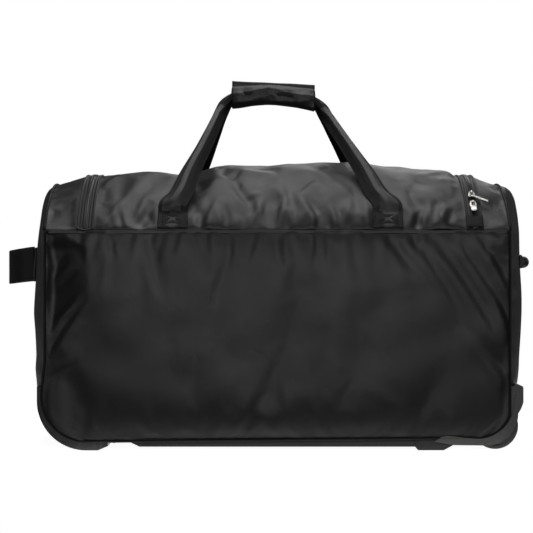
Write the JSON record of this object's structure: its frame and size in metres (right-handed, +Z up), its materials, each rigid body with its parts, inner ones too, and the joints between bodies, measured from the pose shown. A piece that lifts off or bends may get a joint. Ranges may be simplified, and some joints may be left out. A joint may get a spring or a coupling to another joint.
{
  "type": "rolling duffel bag",
  "caption": "Soft barrel-topped travel bag with a U zip lid, two carry handles joined by a wrap, wheels on one end, moulded corner guards and a telescopic pull handle.",
  "frame": {"origin": "on the ground, under the middle of the whole bag", "axes": "+X along the bag towards the wheels, +Y from the plain front panel to the back, +Z up"},
  "size_m": [0.756, 0.3578, 0.525],
  "materials": {
    "bag_fabric": "satin",
    "webbing": "matte",
    "zip_tape": "matte",
    "zip_coil": "satin",
    "slider_metal": "polished",
    "moulded_black": "satin",
    "moulded_grey": "satin",
    "stiffener": "matte",
    "tyre_rubber": "matte",
    "hub_plastic": "satin",
    "steel": "satin",
    "tube_metal": "satin",
    "screw_steel": "satin"
  },
  "bodies": {
    "root": {"front_panel": "bag_fabric", "back_panel": "bag_fabric", "bottom_panel": "bag_fabric", "left_end_panel": "bag_fabric", "right_end_panel": "bag_fabric", "top_left_section": "bag_fabric", "top_right_section": "bag_fabric", "side_piping": "bag_fabric", "zipper_tape_body": "zip_tape", "zipper_teeth_body": "zip_coil", "pull_strap": "webbing", "pull_strap_anchors": "webbing", "end_grip_anchors": "webbing", "base_board": "stiffener", "base_channel": "moulded_black", "base_screws": "screw_steel", "skid_foot_front": "moulded_black", "skid_foot_back": "moulded_black", "corner_guard_front": "moulded_black", "corner_guard_back": "moulded_black", "wheel_housing_front": "moulded_grey", "wheel_housing_back": "moulded_grey", "wheel_axles": "steel", "outer_tubes": "tube_metal", "tube_collars": "moulded_black", "tube_brackets": "moulded_black", "trolley_cup": "moulded_black"},
    "lid": {"lid_panel": "bag_fabric", "zipper_tape_lid": "zip_tape", "zipper_teeth_lid": "zip_coil", "strap_patch_front_left": "webbing", "strap_patch_front_right": "webbing", "strap_patch_back_left": "webbing", "strap_patch_back_right": "webbing", "zipper_garage": "bag_fabric"},
    "handle_front": {"handle_strap_front": "webbing", "grip_wrap_front": "bag_fabric", "hook_strip": "webbing"},
    "handle_back": {"handle_strap_back": "webbing", "grip_wrap_back": "bag_fabric", "loop_strip": "webbing"},
    "slider_upper": {"zipper_slider_upper": "slider_metal"},
    "slider_lower": {"zipper_slider_lower": "slider_metal"},
    "pull_upper": {"zipper_pull_upper": "slider_metal"},
    "pull_lower": {"zipper_pull_lower": "slider_metal"},
    "grip_right": {"end_grip": "bag_fabric"},
    "wheel_front": {"tyre_front": "tyre_rubber", "wheel_hub_front": "hub_plastic", "wheel_bearings_front": "steel"},
    "wheel_back": {"tyre_back": "tyre_rubber", "wheel_hub_back": "hub_plastic", "wheel_bearings_back": "steel"},
    "trolley": {"inner_tubes": "tube_metal", "trolley_grip": "moulded_black", "button_spring": "steel"},
    "release": {"release_button": "moulded_black", "push_rods": "steel"},
    "lock": {"lock_pins": "steel"}
  },
  "joints": [
    {"name": "lid_hinge", "type": "hinge", "parent": "root", "child": "lid", "pos_m": [0.01875, -0.177, 0.303], "axis": [1, 0, 0], "range_deg": [0, 100]},
    {"name": "handle_front_swing", "type": "hinge", "parent": "lid", "child": "handle_front", "pos_m": [0.019, -0.1596, 0.331], "axis": [-1, 0, 0], "range_deg": [-175, 0]},
    {"name": "handle_back_swing", "type": "hinge", "parent": "lid", "child": "handle_back", "pos_m": [0.019, 0.1596, 0.331], "axis": [1, 0, 0], "range_deg": [-175, 0]},
    {"name": "slider_upper_run", "type": "hinge", "parent": "lid", "child": "slider_upper", "pos_m": [0.2875, 0, 0.15726], "axis": [-1, 0, 0], "range_deg": [0, 75]},
    {"name": "slider_lower_run", "type": "hinge", "parent": "lid", "child": "slider_lower", "pos_m": [0.2875, 0, 0.15726], "axis": [-1, 0, 0], "range_deg": [-3.5, 1]},
    {"name": "pull_upper_swing", "type": "hinge", "parent": "slider_upper", "child": "pull_upper", "pos_m": [0.2875, -0.12375, 0.35679], "axis": [-1, 0, 0], "range_deg": [0, 100]},
    {"name": "pull_lower_swing", "type": "hinge", "parent": "slider_lower", "child": "pull_lower", "pos_m": [0.2875, -0.14425, 0.34251], "axis": [-1, 0, 0], "range_deg": [0, 100]},
    {"name": "end_grip_lift", "type": "hinge", "parent": "root", "child": "grip_right", "pos_m": [0.357, 0, 0.266], "axis": [0, -1, 0], "range_deg": [0, 50]},
    {"name": "wheel_front_spin", "type": "hinge", "parent": "root", "child": "wheel_front", "pos_m": [0.317, -0.145, 0.032], "axis": [0, 1, 0], "continuous": true},
    {"name": "wheel_back_spin", "type": "hinge", "parent": "root", "child": "wheel_back", "pos_m": [0.317, 0.145, 0.032], "axis": [0, 1, 0], "continuous": true},
    {"name": "trolley_slide", "type": "slide", "parent": "root", "child": "trolley", "axis": [-1, 0, 0], "range_m": [0, 0.4]},
    {"name": "release_press", "type": "slide", "parent": "trolley", "child": "release", "axis": [1, 0, 0], "range_m": [0, 0.004], "stiffness_N_per_m": 600, "springref_m": -0.003, "deforming": ["button_spring"]},
    {"name": "lock_pin_retract", "type": "slide", "parent": "trolley", "child": "lock", "axis": [0, 0, -1], "range_m": [0, 0.0008]}
  ],
  "couplings": [
    {"joint": "lock_pin_retract", "follows": "release_press", "ratio": 0.2}
  ]
}
